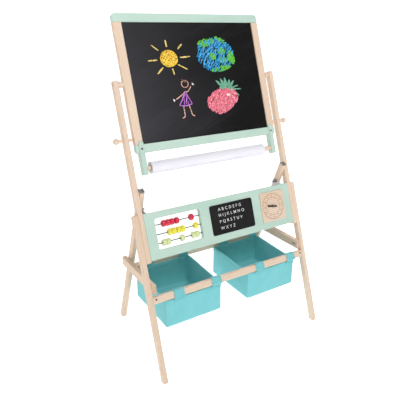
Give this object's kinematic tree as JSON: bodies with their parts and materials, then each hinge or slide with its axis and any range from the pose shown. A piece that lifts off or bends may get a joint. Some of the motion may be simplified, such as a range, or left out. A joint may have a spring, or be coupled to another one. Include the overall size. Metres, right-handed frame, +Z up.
{
  "type": "kids easel",
  "caption": "A-frame easel of pine battens with a turning chalk and dry-wipe board, a paper roll, a mint play panel with abacus, letters and clock, and two hanging fabric bins.",
  "frame": {"origin": "middle of the footprint, on the floor", "axes": "+Z up, -Y towards the front of the easel, +X to the right as seen from the front"},
  "size_m": [0.6286, 0.3936, 1.0032],
  "materials": {
    "pine": "clear satin lacquer",
    "mint_paint": "satin paint on wood",
    "zinc_steel": "zinc plated",
    "dark_steel": "dark satin",
    "chalkboard_paint": "matt black chalkboard paint on thin fibreboard",
    "white_lacquer": "gloss white enamel on thin steel-faced board",
    "paper": "uncoated white paper wound on itself",
    "turquoise_fabric": "woven polyester",
    "dark_brown_wood": "dark stained",
    "red_beads": "gloss lacquer",
    "yellow_beads": "gloss lacquer",
    "pale_green_beads": "gloss lacquer"
  },
  "bodies": {
    "stand": {"front_leg_L": "pine", "front_leg_R": "pine", "upright_L": "pine", "upright_R": "pine", "rear_leg_L": "pine", "rear_leg_R": "pine", "side_rail_L": "pine", "side_rail_R": "pine", "front_rail": "pine", "back_rail": "pine", "leg_bolt_L": "zinc_steel", "leg_bolt_R": "zinc_steel", "cross_bolt_L": "zinc_steel", "cross_bolt_R": "zinc_steel", "top_fitting_L": "dark_steel", "top_fitting_R": "dark_steel", "stay_L": "zinc_steel", "stay_R": "zinc_steel", "wing_nut_L": "dark_steel", "wing_nut_R": "dark_steel", "play_panel": "mint_paint", "abacus_wire_1": "dark_steel", "abacus_wire_2": "dark_steel", "abacus_wire_3": "dark_steel", "letter_board": "chalkboard_paint", "clock_plate": "pine", "clock_pin": "zinc_steel", "pivot_pin_L": "pine", "pivot_pin_R": "pine", "bin_left": "turquoise_fabric", "bin_right": "turquoise_fabric"},
    "writing_board": {"board_stile_L": "pine", "board_stile_R": "pine", "board_top_rail": "mint_paint", "board_bottom_rail": "mint_paint", "chalkboard": "chalkboard_paint", "whiteboard": "white_lacquer", "roll_bracket_L": "mint_paint", "roll_bracket_R": "mint_paint", "roll_dowel": "pine"},
    "paper": {"paper_roll": "paper"},
    "peg_left": {"lock_peg_L": "pine"},
    "peg_right": {"lock_peg_R": "pine"},
    "hour_hand_body": {"hour_hand": "dark_brown_wood"},
    "minute_hand_body": {"minute_hand": "dark_brown_wood"},
    "red_beads_group": {"bead_red_1": "red_beads", "bead_red_2": "red_beads", "bead_red_3": "red_beads", "bead_red_4": "red_beads"},
    "red_bead_single": {"bead_red_5": "red_beads"},
    "yellow_beads_group": {"bead_yellow_1": "yellow_beads", "bead_yellow_2": "yellow_beads", "bead_yellow_3": "yellow_beads", "bead_yellow_4": "yellow_beads"},
    "yellow_bead_single": {"bead_yellow_5": "yellow_beads"},
    "green_beads_left": {"bead_green_1": "pale_green_beads", "bead_green_2": "pale_green_beads"},
    "green_bead_middle": {"bead_green_3": "pale_green_beads"},
    "green_beads_right": {"bead_green_4": "pale_green_beads", "bead_green_5": "pale_green_beads"}
  },
  "joints": [
    {"name": "board_flip", "type": "hinge", "parent": "stand", "child": "writing_board", "pos_m": [0, 0.09706, 0.814], "axis": [1, 0, 0], "continuous": true},
    {"name": "paper_roll_spin", "type": "hinge", "parent": "writing_board", "child": "paper", "pos_m": [0, 0.01679, 0.58464], "axis": [1, 0, 0], "continuous": true},
    {"name": "lock_peg_left_pull", "type": "slide", "parent": "stand", "child": "peg_left", "axis": [-1, 0, 0], "range_m": [0, 0.026]},
    {"name": "lock_peg_right_pull", "type": "slide", "parent": "stand", "child": "peg_right", "axis": [1, 0, 0], "range_m": [0, 0.026]},
    {"name": "hour_hand_turn", "type": "hinge", "parent": "stand", "child": "hour_hand_body", "pos_m": [0.1925, -0.05766, 0.40675], "axis": [0, 0.9439, -0.3304], "continuous": true},
    {"name": "minute_hand_turn", "type": "hinge", "parent": "stand", "child": "minute_hand_body", "pos_m": [0.1925, -0.05766, 0.40675], "axis": [0, 0.9439, -0.3304], "continuous": true},
    {"name": "red_group_slide", "type": "slide", "parent": "stand", "child": "red_beads_group", "axis": [1, 0, 0], "range_m": [-0.0228, 0.018]},
    {"name": "red_single_slide", "type": "slide", "parent": "stand", "child": "red_bead_single", "axis": [1, 0, 0], "range_m": [-0.018, 0.0218]},
    {"name": "yellow_group_slide", "type": "slide", "parent": "stand", "child": "yellow_beads_group", "axis": [1, 0, 0], "range_m": [-0.0378, 0.016]},
    {"name": "yellow_single_slide", "type": "slide", "parent": "stand", "child": "yellow_bead_single", "axis": [1, 0, 0], "range_m": [-0.016, 0.0113]},
    {"name": "green_left_slide", "type": "slide", "parent": "stand", "child": "green_beads_left", "axis": [1, 0, 0], "range_m": [-0.0148, 0.016]},
    {"name": "green_middle_slide", "type": "slide", "parent": "stand", "child": "green_bead_middle", "axis": [1, 0, 0], "range_m": [-0.016, 0.0125]},
    {"name": "green_right_slide", "type": "slide", "parent": "stand", "child": "green_beads_right", "axis": [1, 0, 0], "range_m": [-0.0125, 0.0103]}
  ]
}
